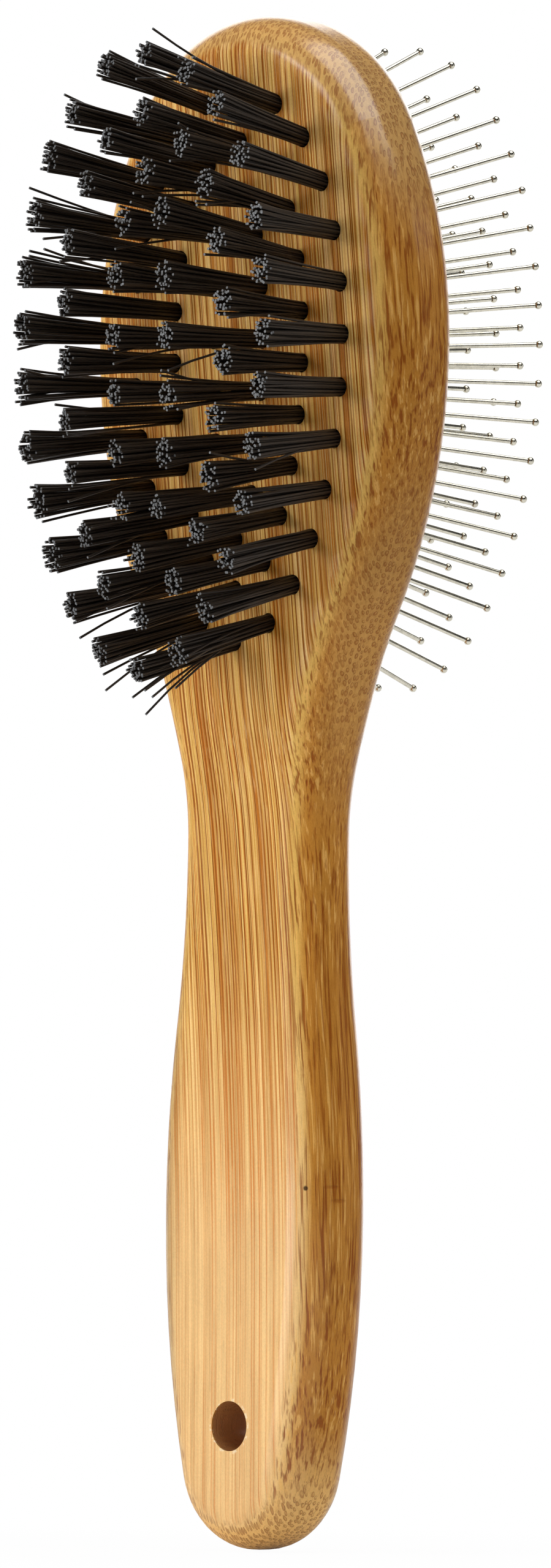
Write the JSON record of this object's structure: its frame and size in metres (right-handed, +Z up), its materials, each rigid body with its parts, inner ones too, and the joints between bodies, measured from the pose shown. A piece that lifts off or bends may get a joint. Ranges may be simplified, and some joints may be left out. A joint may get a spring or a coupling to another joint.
{
  "type": "pet grooming brush",
  "caption": "Double-sided wooden grooming brush: stiff bristle tufts on one face, ball-tipped steel pins in a domed rubber cushion on the other, hang hole in the handle.",
  "frame": {"origin": "centre of the hang hole, midway through the handle", "axes": "+Z up the handle towards the head, X across the width, bristles towards -Y, pins towards +Y"},
  "size_m": [0.0684, 0.0628, 0.235],
  "materials": {
    "bamboo": "clear gloss varnish over laminated bamboo",
    "bristle_nylon": "near-black brown nylon filament",
    "anchor_wire": "flat drawn wire",
    "pin_steel": "polished stainless steel",
    "cushion_rubber": "soft matt black rubber"
  },
  "bodies": {
    "brush": {"anchors_inner_ring": "anchor_wire", "anchors_middle_ring": "anchor_wire", "anchors_outer_ring": "anchor_wire", "handle_body": "bamboo", "pin_cushion": "cushion_rubber", "tufts_inner_01": "bristle_nylon", "tufts_inner_02": "bristle_nylon", "tufts_inner_03": "bristle_nylon", "tufts_inner_04": "bristle_nylon", "tufts_inner_05": "bristle_nylon", "tufts_inner_06": "bristle_nylon", "tufts_inner_07": "bristle_nylon", "tufts_inner_08": "bristle_nylon", "tufts_middle_01": "bristle_nylon", "tufts_middle_02": "bristle_nylon", "tufts_middle_03": "bristle_nylon", "tufts_middle_04": "bristle_nylon", "tufts_middle_05": "bristle_nylon", "tufts_middle_06": "bristle_nylon", "tufts_middle_07": "bristle_nylon", "tufts_middle_08": "bristle_nylon", "tufts_middle_09": "bristle_nylon", "tufts_middle_10": "bristle_nylon", "tufts_middle_11": "bristle_nylon", "tufts_outer_01": "bristle_nylon", "tufts_outer_02": "bristle_nylon", "tufts_outer_03": "bristle_nylon", "tufts_outer_04": "bristle_nylon", "tufts_outer_05": "bristle_nylon", "tufts_outer_06": "bristle_nylon", "tufts_outer_07": "bristle_nylon", "tufts_outer_08": "bristle_nylon", "tufts_outer_09": "bristle_nylon", "tufts_outer_10": "bristle_nylon", "tufts_outer_11": "bristle_nylon", "tufts_outer_12": "bristle_nylon", "tufts_outer_13": "bristle_nylon", "tufts_outer_14": "bristle_nylon"},
    "pin_bed": {"pins_centre_row": "pin_steel", "pins_inner_ring_left": "pin_steel", "pins_inner_ring_right": "pin_steel", "pins_outer_ring_left": "pin_steel", "pins_outer_ring_right": "pin_steel", "pins_second_ring_left": "pin_steel", "pins_second_ring_right": "pin_steel", "pins_third_ring_left": "pin_steel", "pins_third_ring_right": "pin_steel"}
  },
  "joints": [
    {"name": "pin_bed_press", "type": "slide", "parent": "brush", "child": "pin_bed", "axis": [0, -1, 0], "range_m": [0, 0.002], "stiffness_N_per_m": 4000, "deforming": ["pin_cushion"]}
  ]
}
